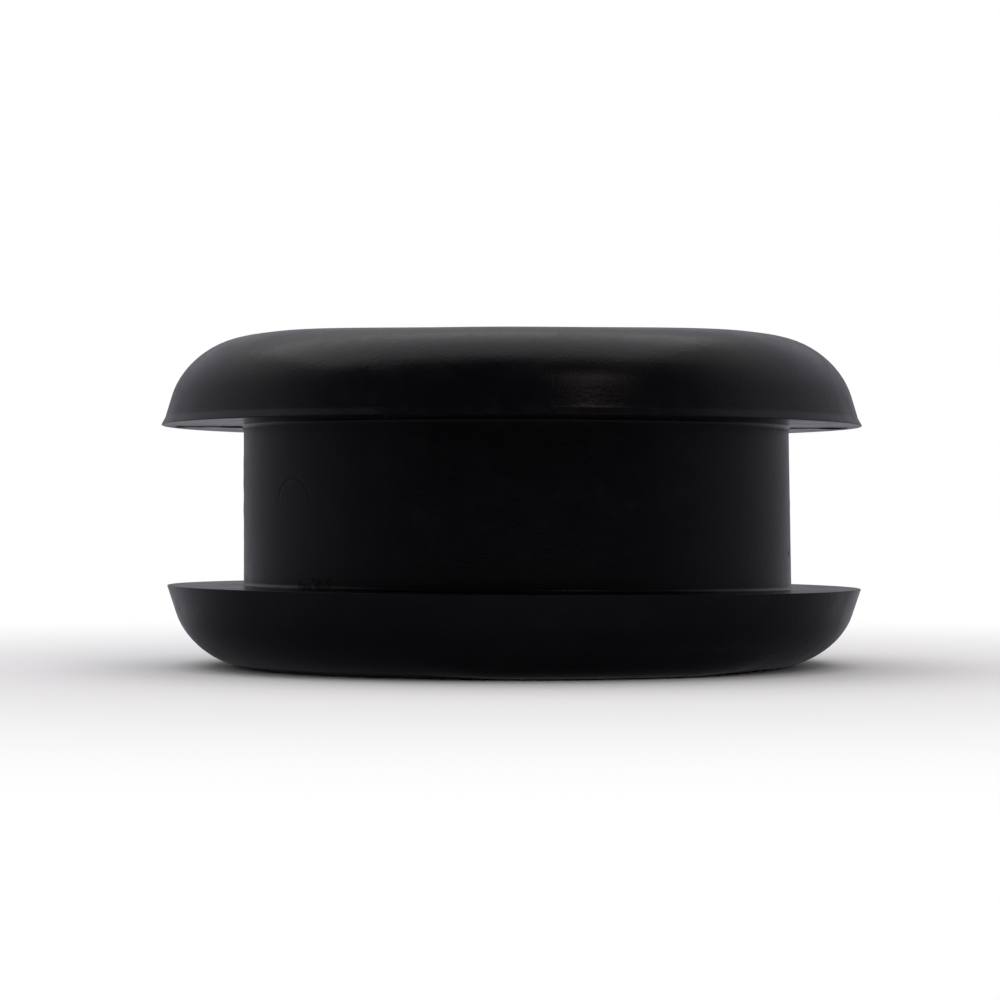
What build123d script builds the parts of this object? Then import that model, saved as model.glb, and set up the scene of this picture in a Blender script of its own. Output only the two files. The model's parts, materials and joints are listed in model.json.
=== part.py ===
"""Rubber panel grommet: one moulded ring that lines a round hole in a panel.

The panel's edge sits in the groove between two domed flanges, and a cable passes
through the bore. The grommet stands on its lower flange, with +Z along the bore and
the origin in the middle of the face that it stands on. Lengths are in millimetres.
"""

from build123d import *

import os
from math import cos, radians, tan

# Groove: the panel hole fits its root, and the panel's thickness fits its width.
groove_diameter = 22.25
groove_width = 6.5

# Flanges: the upper rim is moulded slightly larger than the lower one.
upper_flange_diameter = 28.6
lower_flange_diameter = 28.3
flange_thickness = 3.4

# Bore: the clear way through the middle.
bore_diameter = 15.9

# Each rim leans in from the groove by the draft angle, in degrees, up to its crown.
rim_draft = 17.5

# Roundings, as radii.
crown_radius = 3.2
bore_edge_radius = 1.2
groove_root_radius = 0.3
rim_edge_radius = 0.05

# A crown takes at most this share of the rim's slope and of the face beside it.
largest_crown_share = 0.95

# Radii and heights of the section, worked out from the sizes above.
bore_wall = bore_diameter / 2
groove_root = groove_diameter / 2
upper_rim = upper_flange_diameter / 2
lower_rim = lower_flange_diameter / 2
rim_lean = flange_thickness * tan(radians(rim_draft))
rim_slope = flange_thickness / cos(radians(rim_draft))
groove_floor = flange_thickness
groove_ceiling = groove_floor + groove_width
overall_height = groove_ceiling + flange_thickness


def crown_rounding(rim):
    """The crown's radius on the flange with this rim, no larger than its walls allow."""
    face_width = rim - rim_lean - bore_wall - bore_edge_radius
    room = largest_crown_share * min(rim_slope, face_width)
    setback_per_radius = tan(radians(90 - rim_draft) / 2)
    return min(crown_radius, room / setback_per_radius)


# The half-section's corners, each a radius, a height and the rounding it gets. They run
# from the foot of the bore, out round the lower flange, in round the groove, and back
# over the upper flange to the bore.
section_corners = [
    (bore_wall, 0, bore_edge_radius),
    (lower_rim - rim_lean, 0, crown_rounding(lower_rim)),
    (lower_rim, groove_floor, rim_edge_radius),
    (groove_root, groove_floor, groove_root_radius),
    (groove_root, groove_ceiling, groove_root_radius),
    (upper_rim, groove_ceiling, rim_edge_radius),
    (upper_rim - rim_lean, overall_height, crown_rounding(upper_rim)),
    (bore_wall, overall_height, bore_edge_radius),
]

with BuildPart() as grommet:
    with BuildSketch(Plane.XZ) as half_section:
        with BuildLine() as outline:
            FilletPolyline(
                [(radius, height) for radius, height, rounding in section_corners],
                radius=[rounding for radius, height, rounding in section_corners],
                close=True,
            )
        make_face()
    revolve(axis=Axis.Z)

grommet.part.label = "grommet"

os.makedirs("parts", exist_ok=True)
export_step(grommet.part, "parts/grommet.step")

box = grommet.part.bounding_box()
print(f"grommet: {box.size.X:.3f} x {box.size.Y:.3f} x {box.size.Z:.3f} mm")
print(f"volume {grommet.part.volume:.1f} mm3, bore {bore_diameter} mm, groove {groove_diameter} mm")
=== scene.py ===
# %% [markdown]
# # A rubber panel grommet
# A grommet lines a round hole in a panel. The panel's edge sits in a groove between two
# domed flanges, and a cable passes through the middle. The real thing is one piece of
# black rubber, pressed in a hot mould, so this lesson makes one mesh, one rubber finish
# and a small studio to look at them in. The construction model comes in first, as a
# frame that fixes the size and the place of everything.

import json
from math import atan2, cos, pi, radians, sin, tan

import bmesh
import bpy
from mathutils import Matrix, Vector, noise
from numpy import interp


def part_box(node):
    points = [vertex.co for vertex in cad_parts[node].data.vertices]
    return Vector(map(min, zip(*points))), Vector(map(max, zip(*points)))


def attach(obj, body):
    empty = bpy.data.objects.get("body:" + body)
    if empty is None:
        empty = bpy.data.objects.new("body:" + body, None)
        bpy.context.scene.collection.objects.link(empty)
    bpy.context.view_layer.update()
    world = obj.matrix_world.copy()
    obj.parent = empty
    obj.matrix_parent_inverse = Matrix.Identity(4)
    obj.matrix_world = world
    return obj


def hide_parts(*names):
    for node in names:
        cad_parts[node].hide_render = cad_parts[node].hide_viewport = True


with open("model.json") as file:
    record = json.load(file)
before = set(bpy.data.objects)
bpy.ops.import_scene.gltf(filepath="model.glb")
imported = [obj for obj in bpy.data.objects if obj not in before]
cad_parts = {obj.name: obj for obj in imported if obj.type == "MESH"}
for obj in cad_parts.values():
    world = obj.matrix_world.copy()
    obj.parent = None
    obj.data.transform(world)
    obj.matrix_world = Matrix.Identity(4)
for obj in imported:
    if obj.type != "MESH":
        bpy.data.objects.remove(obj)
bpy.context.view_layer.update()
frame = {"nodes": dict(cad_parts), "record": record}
print("frame nodes:", sorted(frame["nodes"]))

# %% [markdown]
# ## Sizes
# Blender works in metres, so a value in millimetres is written as a number times `mm`.
# The outer sizes are read from the frame, and the bore and the groove from its record,
# so that the mesh can never drift away from the construction. Only the slope of the rims,
# the small roundings and the lip, which the frame doesn't list, are named here.

# %% Read the sizes
mm = 0.001

foot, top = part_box("grommet")
mounts = {mount["name"]: mount["dims"] for mount in frame["record"]["mounts"]}
height = top.z - foot.z
bore_radius = mounts["cable_bore"]["r_mm"] * mm
neck_radius = mounts["panel_groove"]["r_mm"] * mm
groove_width = mounts["panel_groove"]["length_mm"] * mm
flange_thickness = (height - groove_width) / 2
groove_floor = flange_thickness
groove_ceiling = groove_floor + groove_width
bore_edge = (height - mounts["cable_bore"]["length_mm"] * mm) / 2


def widest_radius(lowest, highest):
    """The frame's largest radius between two heights."""
    corners = frame["nodes"]["grommet"].data.vertices
    return max(corner.co.xy.length for corner in corners if lowest < corner.co.z < highest)


lower_rim = widest_radius(foot.z, height / 2)
upper_rim = widest_radius(height / 2, top.z)

rim_draft = radians(17.5)
crown_rounding = 3.2 * mm
root_rounding = 0.15 * mm
tip_rounding = 0.03 * mm
lip_reach = 0.08 * mm
lip_height = 0.3 * mm
lip_rounding = 0.4 * mm

print(f"height {height / mm:.2f} mm, rims {lower_rim / mm:.2f} and {upper_rim / mm:.2f} mm")
print(f"flange {flange_thickness / mm:.2f} mm, bore {bore_radius / mm:.2f} mm")

# %% [markdown]
# ## The half-section
# A body that is the same all round is quickest made by drawing half of its section and
# turning it about the axis. The section starts as a polygon with sharp corners, one
# vertex each. The upper flange has a thin lip at its rim, where rubber crept into the
# joint of the mould, so it has one corner more than the lower flange.

# %% Draw the sharp-cornered section
rim_lean = tan(rim_draft)
land_radius = upper_rim - lip_reach

section_corners = [
    (bore_radius, 0, bore_edge),
    (lower_rim - flange_thickness * rim_lean, 0, crown_rounding),
    (lower_rim, groove_floor, tip_rounding),
    (neck_radius, groove_floor, root_rounding),
    (neck_radius, groove_ceiling, root_rounding),
    (upper_rim, groove_ceiling, tip_rounding),
    (land_radius - lip_height * rim_lean, groove_ceiling + lip_height, lip_rounding),
    (land_radius - flange_thickness * rim_lean, height, crown_rounding),
    (bore_radius, height, bore_edge),
]

section = bmesh.new()
corners = [section.verts.new((radius, 0, z)) for radius, z, rounding in section_corners]
section.faces.new(corners)
print("sharp section:", len(section.verts), "corners")

# %% [markdown]
# Each corner is then rounded with a vertex bevel. Bevel wants the distance from the
# corner to where the arc starts, which follows from the arc's radius and the angle
# between the two sides: a blunt corner needs a shorter setback than a sharp one.

# %% Round its corners
arc_step = radians(5)


def round_corner(corner, radius):
    """Replaces one corner of the section by an arc of this radius."""
    sides = [edge.other_vert(corner).co - corner.co for edge in corner.link_edges]
    opening = sides[0].angle(sides[1])
    bmesh.ops.bevel(
        section,
        geom=[corner],
        offset=radius / tan(opening / 2),
        offset_type="OFFSET",
        segments=max(3, round((pi - opening) / arc_step)),
        profile=0.5,
        affect="VERTICES",
        material=-1,
    )


for corner, (radius, z, rounding) in zip(corners, section_corners):
    round_corner(corner, rounding)
print("rounded section:", len(section.verts), "points")

# %% [markdown]
# The long straight sides get more points too. Rubber is never quite true, and the
# uneven places modelled below need vertices to act on.

# %% Divide its long sides
longest_side = 0.2 * mm

for side in list(section.edges):
    cuts = int(side.calc_length() / longest_side)
    if cuts:
        bmesh.ops.subdivide_edges(section, edges=[side], cuts=cuts)
print("divided section:", len(section.verts), "points")

# %% [markdown]
# ## Turning the section
# `spin` sweeps the outline round the axis, as a lathe would. The face that filled the
# polygon is removed first, since only the outline makes the skin. A full turn ends where
# it began, and `use_merge` joins the last profile to the first. The number of steps is
# a multiple of four, so that one profile lies on each of the four main directions.

# %% Spin it
turn_steps = 288

bmesh.ops.delete(section, geom=list(section.faces), context="FACES_ONLY")
bmesh.ops.spin(
    section,
    geom=list(section.verts) + list(section.edges),
    cent=(0, 0, 0),
    axis=(0, 0, 1),
    angle=2 * pi,
    steps=turn_steps,
    use_merge=True,
)
bmesh.ops.remove_doubles(section, verts=list(section.verts), dist=0.001 * mm)
bmesh.ops.recalc_face_normals(section, faces=list(section.faces))
body = section
print("ring:", len(body.verts), "vertices,", len(body.faces), "faces")

# %% [markdown]
# ## Leaving it uneven
# A moulded rubber ring is soft when it leaves the mould, and it is never quite round or
# flat. On this one the neck and the lower flange sit a little to the right, the groove
# droops on that side, the upper crown has a low place in front, and the lower crown is
# fuller beside it. These are a tenth or two of a millimetre, but they are what makes it
# look like rubber and not like turned metal. Sculpting them by hand would work too, but a
# few lines that move each vertex by its place can be read and changed. Every uneven place
# fades out smoothly, for which the helpers below give shares from 0 to 1.

# %% Helpers for the uneven places
def azimuth(point):
    """The angle round the axis: 0 in front, 90 degrees on the right."""
    return atan2(point.x, -point.y)


def ramp(value, low, high):
    """0 below low and 1 above high, with a smooth rise between."""
    share = min(max((value - low) / (high - low), 0), 1)
    return share * share * (3 - 2 * share)


def between(first, second, share):
    """The value at this share of the way from the first to the second."""
    return first + (second - first) * share


def place_round(angle, start, full, ease, end):
    """1 from full to ease, falling to 0 at start and at end, all in degrees of azimuth."""
    rise = ramp(angle, radians(start), radians(full))
    return rise * (1 - ramp(angle, radians(ease), radians(end)))


# %% [markdown]
# The steel ring that shapes the groove sat a little off centre in the mould. So the neck's
# skin moves as one, more at its foot than at its top, and the groove's floor and ceiling
# are stretched after it, out to the rims, which keep nearly to their place.

# %% Shift the neck and the lower flange to the right
neck_shift = 0.19 * mm
neck_spread = 0.11 * mm
flange_shift = 0.1 * mm
edge_margin = root_rounding / 9

wall_middle = (bore_radius + neck_radius) / 2
root_edge = neck_radius + root_rounding
for vertex in body.verts:
    point = vertex.co
    radius = point.xy.length
    shift = flange_shift * ramp(radius, bore_radius, lower_rim)
    shift *= 1 - ramp(point.z, groove_floor, groove_ceiling)
    in_groove = groove_floor - edge_margin < point.z < groove_ceiling + edge_margin
    if in_groove and radius > wall_middle:
        depth = (groove_ceiling - point.z) / groove_width
        spread = neck_spread * depth * max(sin(azimuth(point)), 0)
        shift = between(neck_shift + spread, shift, ramp(radius, root_edge, lower_rim))
    point.x += shift
print(f"neck moved {neck_shift / mm:.2f} mm, lower rim {flange_shift / mm:.2f} mm")

# %% [markdown]
# Heights change in the same way. The foot stays where it is, because the ring stands on it,
# and the groove's floor, its ceiling and the top each come down by their own amount. What
# lies between two of these levels follows in proportion, which is what `interp` works out.
# A droop that differs from left to right is given as a pair.

# %% Let the groove and the crowns droop
floor_droop = (0.08 * mm, 0.25 * mm)
ceiling_droop = (0.12 * mm, 0.18 * mm)
crown_droop = 0.15 * mm
low_place = (-54, -12, 8, 55)
fuller_share = 0.7
fuller_place = (-20, 0, 35, 55)
fuller_height = groove_floor / 3

levels = (0, groove_floor, groove_ceiling, height)
for vertex in body.verts:
    point = vertex.co
    angle = azimuth(point)
    rightness = (1 + sin(angle)) / 2
    if point.z < fuller_height and point.xy.length > neck_radius:
        fuller = place_round(angle, *fuller_place) * (1 - ramp(point.z, 0, fuller_height))
        point.z *= 1 - fuller_share * fuller
    droops = (
        0,
        between(*floor_droop, rightness),
        between(*ceiling_droop, rightness),
        crown_droop * place_round(angle, *low_place),
    )
    point.z -= interp(point.z, levels, droops)
print(f"top now at {max(vertex.co.z for vertex in body.verts) / mm:.3f} mm")

# %% [markdown]
# The rest of the unevenness has no pattern, so it comes from noise. Its seed is the
# place itself, which gives the same ring on every run.

# %% Add a slight tremble
tremble_size = 4 * mm
tremble = 0.012 * mm
rim_tremble_size = 1.3 * mm
rim_tremble = 0.015 * mm
rim_band = 0.5 * mm

for vertex in body.verts:
    point = vertex.co
    outward = Vector((point.x, point.y, 0)).normalized()
    near_rim = ramp(point.xy.length, lower_rim - rim_band, lower_rim)
    push = tremble * noise.noise(point / tremble_size)
    push += rim_tremble * near_rim * noise.noise(point / rim_tremble_size)
    point += outward * push
print(f"tremble: up to {(tremble + rim_tremble) / mm:.3f} mm")

# %% [markdown]
# ## The parting line
# The ring that shapes the groove is in two halves, because it has to come out sideways.
# A little rubber creeps between the halves and leaves a thin raised line on both sides,
# down the neck and out across the inner faces of the flanges. To make it, the one row of
# edges on each side is bevelled into a narrow strip, and the middle of the strip is lifted.

# %% Raise the flash
flash_width = 0.05 * mm
flash_height = 0.08 * mm
wobble_size = 0.8 * mm
wobble_share = 0.4
line_margin = 0.001 * mm
groove_margin = 0.01 * mm


def is_parting(edge):
    """Whether an edge lies in the groove, on the line where the mould's halves meet."""
    on_line = all(abs(vertex.co.y) < line_margin for vertex in edge.verts)
    inside_groove = all(
        wall_middle < abs(vertex.co.x) < upper_rim - rim_band
        and groove_floor - groove_margin < vertex.co.z < groove_ceiling + groove_margin
        for vertex in edge.verts
    )
    return on_line and inside_groove


parting = [edge for edge in body.edges if is_parting(edge)]
line_length = sum(edge.calc_length() for edge in parting)
strip = bmesh.ops.bevel(
    body,
    geom=parting,
    offset=flash_width,
    offset_type="OFFSET",
    segments=2,
    profile=0.5,
    affect="EDGES",
    material=-1,
)
body.normal_update()
for vertex in strip["verts"]:
    if abs(vertex.co.y) < flash_width / 4:
        wobble = 1 - wobble_share + wobble_share * noise.noise(vertex.co / wobble_size)
        vertex.co += vertex.normal * flash_height * wobble
print(f"parting line: {line_length / mm:.1f} mm in {len(parting)} edges")

# %% [markdown]
# ## The finished piece
# The bmesh becomes an object that stays at the origin, because its place is already in
# its mesh. It rides on the frame's only body and stands for the plain construction node.

# %% Make the grommet
for face in body.faces:
    face.smooth = True
grommet_mesh = bpy.data.meshes.new("grommet_rubber")
body.to_mesh(grommet_mesh)
body.free()
grommet = bpy.data.objects.new("grommet_rubber", grommet_mesh)
bpy.context.scene.collection.objects.link(grommet)
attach(grommet, "root")
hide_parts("grommet")
print("grommet:", len(grommet_mesh.vertices), "vertices")

# %% [markdown]
# ## Shader maths as plain expressions
# A shader is easier to read as a formula than as a web of boxes. `Wire` stands for one
# output socket, and adding or multiplying two wires puts in the Math node that does it.
# `Finish` is one material, and its `add` method makes every other kind of node: it takes
# the node's type, its settings, and the values or links of its sockets.

# %% A wire and a finish
class Wire:
    """An output socket whose arithmetic adds Math nodes."""

    def __init__(self, finish, socket):
        self.finish = finish
        self.socket = socket

    def math(self, operation, first, second=0.0):
        return self.finish.add("ShaderNodeMath", {"operation": operation}, {0: first, 1: second})

    def __add__(self, other):
        return self.math("ADD", self, other)

    def __radd__(self, other):
        return self.math("ADD", other, self)

    def __sub__(self, other):
        return self.math("SUBTRACT", self, other)

    def __rsub__(self, other):
        return self.math("SUBTRACT", other, self)

    def __mul__(self, other):
        return self.math("MULTIPLY", self, other)

    def __rmul__(self, other):
        return self.math("MULTIPLY", other, self)

    def absolute(self):
        return self.math("ABSOLUTE", self)

    def largest(self, other):
        return self.math("MAXIMUM", self, other)


class Finish:
    """A material, or the world, that is built up node by node."""

    def __init__(self, owner):
        owner.use_nodes = True
        self.tree = owner.node_tree
        self.tree.nodes.clear()

    def add(self, kind, settings=None, sockets=None, output=0):
        """Adds a node, gives it its settings, then fills or links its sockets."""
        node = self.tree.nodes.new(kind)
        for name, value in (settings or {}).items():
            setattr(node, name, value)
        for name, value in (sockets or {}).items():
            if isinstance(value, Wire):
                self.tree.links.new(value.socket, node.inputs[name])
            else:
                node.inputs[name].default_value = value
        return Wire(self, node.outputs[output]) if node.outputs else None

    def noise(self, place, scale, detail=2, roughness=0.5):
        """Soft random patches, about 1 / scale across."""
        sockets = {"Vector": place, "Scale": scale, "Detail": detail, "Roughness": roughness}
        return self.add("ShaderNodeTexNoise", {}, sockets)

    def step(self, value, low, high):
        """0 below low and 1 above high, with a smooth rise between."""
        settings = {"interpolation_type": "SMOOTHSTEP"}
        sockets = {"Value": value, "From Min": low, "From Max": high}
        return self.add("ShaderNodeMapRange", settings, sockets)

    def blend(self, share, first, second):
        """Mixes two colours."""
        return self.add("ShaderNodeMix", {"data_type": "RGBA"}, {0: share, 6: first, 7: second}, 2)


# %% [markdown]
# ## The rubber
# Black rubber owes its colour to soot. Real rubber sends back a few hundredths of the
# light, and its skin mirrors about four hundredths more. In a bright white room that
# looks dark grey, and this piece has to look nearly black in one. So both are set lower
# than in life: the base colour to a few thousandths, and the specular level to 0.1, where
# the shader's usual value is 0.5. In a dark room the usual values would do. A faint grey
# bloom, of wax that comes to the surface, dulls the gloss in patches.

# %% Blend black and bloom
rubber = bpy.data.materials.new("black_rubber")
mix = Finish(rubber)

place = mix.add("ShaderNodeTexCoord", output="Object")
across = mix.add("ShaderNodeSeparateXYZ", {}, {0: place}, "X")
back = mix.add("ShaderNodeSeparateXYZ", {}, {0: place}, "Y")
up = mix.add("ShaderNodeSeparateXYZ", {}, {0: place}, "Z")
flat_place = mix.add("ShaderNodeCombineXYZ", {}, {"X": across, "Y": back})
from_axis = mix.add("ShaderNodeVectorMath", {"operation": "LENGTH"}, {0: flat_place}, "Value")

deep_black = (0.0019, 0.0016, 0.0026, 1)
bloom_grey = (0.0036, 0.0033, 0.0044, 1)
wide_scale = 260
small_scale = 1100

wide_bloom = mix.step(mix.noise(place, wide_scale, 5, 0.6), 0.42, 0.68)
small_bloom = mix.step(mix.noise(place, small_scale, 4, 0.6), 0.45, 0.7)
bloom = 0.6 * wide_bloom + 0.4 * small_bloom
colour = mix.blend(bloom, deep_black, bloom_grey)

# %% [markdown]
# Brownish dust keeps to the places where the mould's parts met: the two parting lines in
# the groove, and the thin edge of the upper rim beside them. Each place is a mask, a number
# that is 1 there and 0 elsewhere, and noise breaks it up, because dust never lies evenly.

# %% Dust the parting lines and the upper rim
dust_brown = (0.05, 0.027, 0.018, 1)
line_width = 0.09 * mm
edge_width = 0.03 * mm
edge_stretch = 4 * mm
floor_fade = 0.3 * mm
ceiling_fade = 0.2 * mm
skin_depth = 0.4 * mm
dust_scale = 900

in_groove = mix.step(up, groove_floor - floor_fade, groove_floor)
in_groove *= 1 - mix.step(up, groove_ceiling - ceiling_fade, groove_ceiling)
outside = mix.step(across.absolute(), wall_middle, neck_radius - skin_depth)
on_line = 1 - mix.step(back.absolute(), line_width / 2, line_width)
on_rim = mix.step(from_axis, upper_rim - edge_width, upper_rim)
on_rim *= 1 - mix.step(back.absolute(), edge_stretch / 2, edge_stretch)
patchy = mix.step(mix.noise(place, dust_scale, 3), 0.4, 0.6)
dust = (on_line * in_groove * outside).largest(0.5 * on_rim) * patchy
colour = mix.blend(0.8 * dust, colour, dust_brown)

# %% [markdown]
# The marks of use are small: a round scuff and a pit on the neck, left by something hard,
# and a few torn shreds where the neck meets the lower flange. A mark is placed by its
# angle round the neck and its height, and its mask is the distance from that point.

# %% Mark the neck
def from_spot(angle, z):
    """The distance from the spot on the neck at this angle, in degrees, and height."""
    turn = radians(angle)
    spot = (neck_shift + neck_radius * sin(turn), -neck_radius * cos(turn), z)
    return mix.add("ShaderNodeVectorMath", {"operation": "DISTANCE"}, {0: place, 1: spot}, "Value")


scuff_angle = -51
scuff_height = 6.5 * mm
scuff_radius = 1.05 * mm
scuff_width = 0.12 * mm
scuff_fade = 0.5 * mm
off_ring = (from_spot(scuff_angle, scuff_height) - scuff_radius).absolute()
scuff = 1 - mix.step(off_ring, 0, scuff_width)
scuff *= mix.step(up, scuff_height, scuff_height + scuff_fade)

pit_angle = 77
pit_height = 4.6 * mm
pit_radius = 0.2 * mm
pit_floor = 0.08 * mm
pit = 1 - mix.step(from_spot(pit_angle, pit_height), pit_floor, pit_radius)

shred_angle = -44
shred_height = 0.3 * mm
shred_foot = 0.1 * mm
shred_spread = (0.6 * mm, 1.3 * mm)
shred_scale = 3200
near_root = 1 - mix.step(up, groove_floor + shred_foot, groove_floor + shred_height)
near_shreds = 1 - mix.step(from_spot(shred_angle, groove_floor), *shred_spread)
torn = mix.step(mix.noise(place, shred_scale, 4, 0.7), 0.47, 0.55)
shreds = near_root * near_shreds * torn
marks = (0.6 * scuff).largest(pit).largest(shreds)
print("marks: a scuff, a pit and shreds at", scuff_angle, pit_angle, shred_angle, "degrees")

# %% [markdown]
# The grain of the mould is far too fine to model, so it is a bump: two sizes of noise,
# with the marks cut into it. A bump's distance is a real depth, a few hundredths of a
# millimetre here. Dull places are rougher than clean ones.

# %% Finish the skin
fine_scale = 9000
coarse_scale = 2600
grain_depth = 0.03 * mm
clean_roughness = 0.21

fine_grain = mix.noise(place, fine_scale, 2)
coarse_grain = mix.noise(place, coarse_scale, 3)
relief = 0.5 * fine_grain + 0.5 * coarse_grain - 1.5 * marks
normal = mix.add(
    "ShaderNodeBump", {}, {"Strength": 0.4, "Distance": grain_depth, "Height": relief}
)
roughness = clean_roughness + 0.12 * bloom + 0.08 * (coarse_grain - 0.5)
roughness = roughness + 0.35 * dust + 0.4 * marks
shader = mix.add(
    "ShaderNodeBsdfPrincipled",
    {},
    {
        "Base Color": colour,
        "Roughness": roughness,
        "Specular IOR Level": 0.1,
        "Normal": normal,
    },
)
mix.add("ShaderNodeOutputMaterial", {}, {"Surface": shader})
grommet_mesh.materials.append(rubber)
print("rubber:", len(rubber.node_tree.nodes), "nodes")

# %% [markdown]
# ## The camera
# A small thing seen from a hand's breadth away looks different from one seen from afar:
# its near rim hangs lower and its far rim peeps over. So the distance matters as much as
# the angle. The eye is level with the middle of the groove and tipped up a
# little, and a long lens fills the frame.

# %% Place the camera
eye_distance = 118.6 * mm
eye_height = 5.9 * mm
eye_left = 0.47 * mm
tip_up = radians(0.416)
lens_length = 104.1
sensor_width = 36

camera_data = bpy.data.cameras.new("camera")
camera_data.sensor_width = sensor_width
camera_data.lens = lens_length
camera_data.clip_start = 5 * mm
camera_data.clip_end = 10
camera = bpy.data.objects.new("camera", camera_data)
camera.location = (-eye_left, -eye_distance, eye_height)
camera.rotation_euler = (radians(90) + tip_up, 0, 0)
bpy.context.scene.collection.objects.link(camera)
bpy.context.scene.camera = camera
print(f"camera: {eye_distance / mm:.1f} mm away, {lens_length} mm lens")

# %% [markdown]
# ## The studio
# The floor is a plain pale sheet and the room is white. Black rubber shows little but
# reflections, so what stands round it matters more than how strong the lamps are: a wide
# soft light overhead draws the bright band along the upper flange, and a dim surround,
# darkest in front, keeps the rest of the skin black.
#
# Light Path tells what sort of ray has met a surface. Close to the ring the paper is
# plain paper, which takes its shadow. Further out it fades to pure white for whatever
# looks at it, directly or by reflection, and stays plain paper for other light. A bigger
# lamp would whiten it too, but it would also grey the rubber.

# %% Lay the floor
floor_half = 1500 * mm
paper_tone = (0.94, 0.94, 0.94, 1)
fade_start = 12 * mm
fade_end = 60 * mm


def add_sheet(name, sheet, material):
    """Makes a stage object of a bmesh, with one material."""
    mesh = bpy.data.meshes.new(name)
    sheet.to_mesh(mesh)
    sheet.free()
    mesh.materials.append(material)
    stand = bpy.data.objects.new(name, mesh)
    bpy.context.scene.collection.objects.link(stand)
    return stand


def seen_directly(finish):
    """1 for rays from the camera, or by way of a mirror or glass, and 0 for other light."""
    names = ("Is Camera Ray", "Is Glossy Ray", "Is Transmission Ray")
    camera_ray, glossy_ray, glass_ray = [
        finish.add("ShaderNodeLightPath", output=name) for name in names
    ]
    return camera_ray.largest(glossy_ray).largest(glass_ray)


paper = bpy.data.materials.new("white_paper")
sheet = Finish(paper)
from_middle = sheet.add("ShaderNodeTexCoord", output="Object")
distance = sheet.add("ShaderNodeVectorMath", {"operation": "LENGTH"}, {0: from_middle}, "Value")
faded = sheet.step(distance, fade_start, fade_end) * seen_directly(sheet)
plain = sheet.add("ShaderNodeBsdfDiffuse", {}, {"Color": paper_tone})
white = sheet.add("ShaderNodeEmission", {}, {"Strength": 1.0})
faded_paper = sheet.add("ShaderNodeMixShader", {}, {0: faded, 1: plain, 2: white})
sheet.add("ShaderNodeOutputMaterial", {}, {"Surface": faded_paper})

floor_sheet = bmesh.new()
bmesh.ops.create_grid(floor_sheet, x_segments=1, y_segments=1, size=floor_half)
add_sheet("floor", floor_sheet, paper)

# %% [markdown]
# The room is done in the same way, in the world's own nodes: pure white to look at, and
# half as strong as a light.

# %% Fill the room with light
room = bpy.data.worlds.new("room")
bpy.context.scene.world = room
air = Finish(room)
fill_strength = 0.5
strength = fill_strength + (1 - fill_strength) * seen_directly(air)
background = air.add("ShaderNodeBackground", {}, {"Color": (1, 1, 1, 1), "Strength": strength})
air.add("ShaderNodeOutputWorld", {}, {"Surface": background})
print("room fill:", fill_strength)

# %% [markdown]
# Two lamps are hung. The large softbox overhead is seen in the top of the upper flange as
# a broad pale band. A small warm one in front, like a far window, makes the only crisp
# highlight. A lamp's brightness in a reflection doesn't depend on its size, so each is
# given by how bright it looks, and its power is worked out from that and its area.

# %% Hang the lamps
def hang_lamp(name, place, target, size, radiance, colour):
    """A rectangular lamp that faces the target and looks this bright."""
    data = bpy.data.lights.new(name, "AREA")
    data.shape = "RECTANGLE"
    data.size, data.size_y = size
    data.energy = radiance * pi * size[0] * size[1]
    data.color = colour
    lamp = bpy.data.objects.new(name, data)
    lamp.location = place
    lamp.rotation_euler = (place - target).to_track_quat("Z", "Y").to_euler()
    bpy.context.scene.collection.objects.link(lamp)
    print(f"{name}: {data.energy:.2f} W")


def heading(turn, lift):
    """The direction at this angle to the right of the front and this angle up."""
    level = cos(lift)
    return Vector((sin(turn) * level, -cos(turn) * level, sin(lift)))


middle = Vector((0, 0, height / 2))
softbox_place = Vector((-80 * mm, 180 * mm, 450 * mm))
softbox_foot = Vector((softbox_place.x, softbox_place.y, 0))
softbox_size = (600 * mm, 480 * mm)
softbox_glow = 1.25
softbox_colour = (1, 0.96, 1.02)
hang_lamp("softbox", softbox_place, softbox_foot, softbox_size, softbox_glow, softbox_colour)

window_distance = 250 * mm
window_place = middle + heading(radians(30), radians(44)) * window_distance
window_size = (50 * mm, 50 * mm)
window_glow = 4.0
window_colour = (1, 0.85, 0.75)
hang_lamp("window", window_place, middle, window_size, window_glow, window_colour)

# %% [markdown]
# The surround is a dim sheet that only reflections see. It glows, though it is no lamp:
# its glow is painted light that stands in for a dim room round the ring. The camera looks
# through it, and it neither lights the ring's own colour nor shades it. It lies flat on the
# floor, so that the lower flange doesn't mirror white paper, and then stands up as a wall
# all round, low behind, where the overhead light has to come over it, and high in front.
# Its tone is darkest in front, which the middle of the ring mirrors, and paler at the sides,
# which gives the ring its lighter edges. It grows darker towards the ring's foot, a painted
# shadow of the ring that the lower flange mirrors. `backness` runs from -1 in front to 1
# behind, and each pair of numbers below says where along it a change of tone begins and ends.

# %% Colour the surround
surround_radius = 400 * mm
inner_radius = 11.5 * mm
front_tone = 0.06
side_tone = 0.42
back_tone = 0.3
front_to_side = (-0.9, 0)
side_to_back = (0.3, 1)
front_to_bright = (-0.4, 0.15)
dark_to_back = (0, 0.4)
bright_height = 240 * mm
dark_height = 600 * mm
brightening = 1.1
darkening = 0.45
near_fade = 4 * mm
cool_grey = (0.98, 0.955, 1.07, 1)

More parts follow.
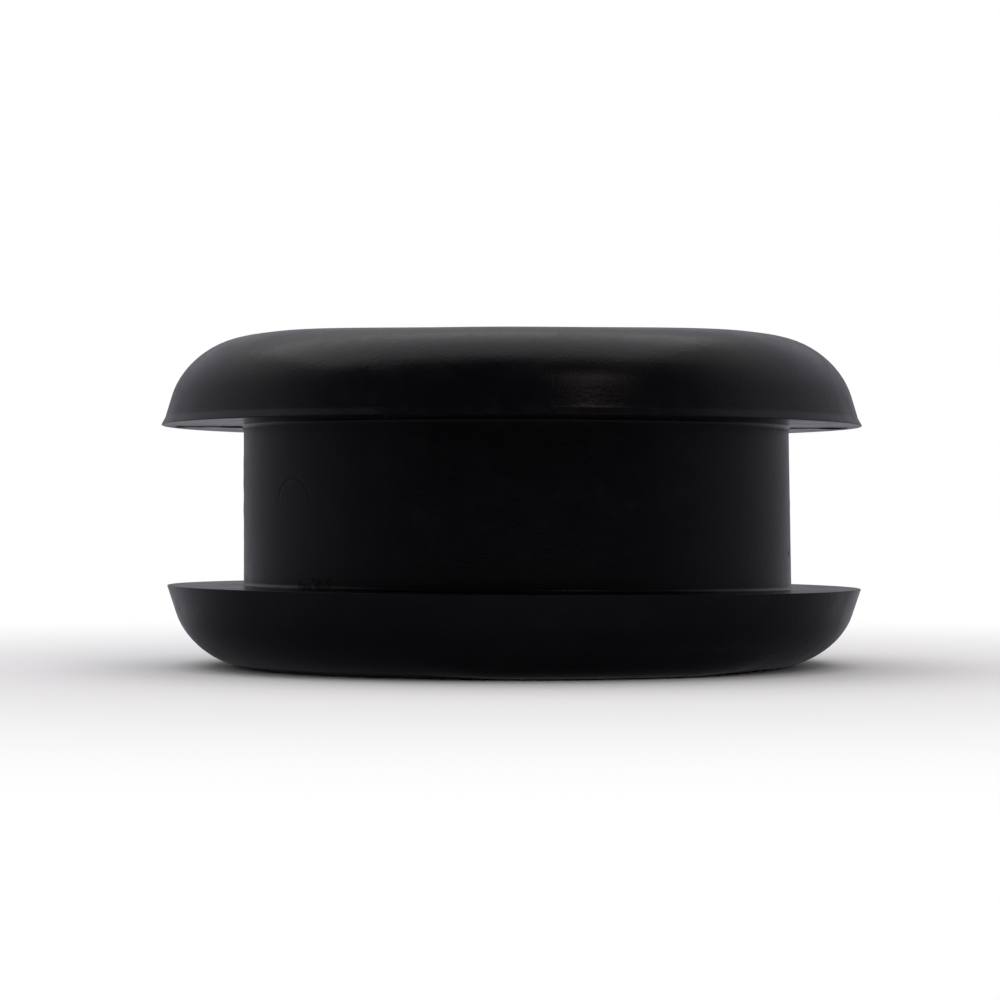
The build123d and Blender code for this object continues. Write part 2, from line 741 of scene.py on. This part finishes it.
dim_glowing_sheet = bpy.data.materials.new("dim_glowing_sheet")
glow_finish = Finish(dim_glowing_sheet)
spot = glow_finish.add("ShaderNodeTexCoord", output="Object")
backness = glow_finish.add("ShaderNodeSeparateXYZ", {}, {0: spot}, "Y") * (1 / surround_radius)
upness = glow_finish.add("ShaderNodeSeparateXYZ", {}, {0: spot}, "Z")
rise = glow_finish.step(upness, 0, bright_height)
overhead = glow_finish.step(upness, bright_height, dark_height)
away = glow_finish.add("ShaderNodeVectorMath", {"operation": "LENGTH"}, {0: spot}, "Value")
tone = front_tone + (side_tone - front_tone) * glow_finish.step(backness, *front_to_side)
tone -= (side_tone - back_tone) * glow_finish.step(backness, *side_to_back)
# Painted shadow: the glow grows darker towards the ring's foot, where the ring's shade would lie.
tone *= glow_finish.step(away, inner_radius - near_fade, 2 * inner_radius)
tone *= 1 + brightening * rise * glow_finish.step(backness, *front_to_bright)
tone *= 1 - darkening * overhead * (1 - glow_finish.step(backness, *dark_to_back))
# The sheet's glow is painted light, seen only in reflections.
glimmer = glow_finish.add("ShaderNodeEmission", {}, {"Color": cool_grey, "Strength": tone})
glow_finish.add("ShaderNodeOutputMaterial", {}, {"Surface": glimmer})
print("surround:", len(dim_glowing_sheet.node_tree.nodes), "nodes")

# %% [markdown]
# Its shape starts as a circle round the ring's foot. Extruding the circle's edges and
# scaling the new ones outwards makes the flat part, and extruding again and raising them
# makes the wall, whose height differs from place to place.

# %% Stand the surround
lift = 0.03 * mm
back_height = 290 * mm
front_slope = 2.7
side_slope = 0.15

glow_mesh = bmesh.new()
bmesh.ops.create_circle(glow_mesh, cap_ends=False, radius=inner_radius, segments=96)
bmesh.ops.translate(glow_mesh, vec=(0, 0, lift), verts=list(glow_mesh.verts))


def widen(edges):
    """Extrudes a ring of edges and gives back the new ring's vertices and edges."""
    grown = bmesh.ops.extrude_edge_only(glow_mesh, edges=edges)["geom"]
    ring = [item for item in grown if isinstance(item, bmesh.types.BMVert)]
    rim = [edge for edge in glow_mesh.edges if all(vertex in ring for vertex in edge.verts)]
    return ring, rim


ring, rim = widen(list(glow_mesh.edges))
growth = surround_radius / inner_radius
bmesh.ops.scale(glow_mesh, vec=(growth, growth, 1), verts=ring)
ring = widen(rim)[0]
for vertex in ring:
    drawn_up = front_slope * max(surround_radius / 4 - vertex.co.y, 0)
    vertex.co.z = back_height + drawn_up + side_slope * vertex.co.x
surround = add_sheet("surround", glow_mesh, dim_glowing_sheet)
surround.visible_camera = False
surround.visible_diffuse = False
surround.visible_shadow = False
print("surround:", [round(side, 2) for side in surround.dimensions], "m")

# %% [markdown]
# ## Colours
# The Standard view shows colours as they are, without a film look.

# %% Show plain colours
bpy.context.scene.view_settings.view_transform = "Standard"
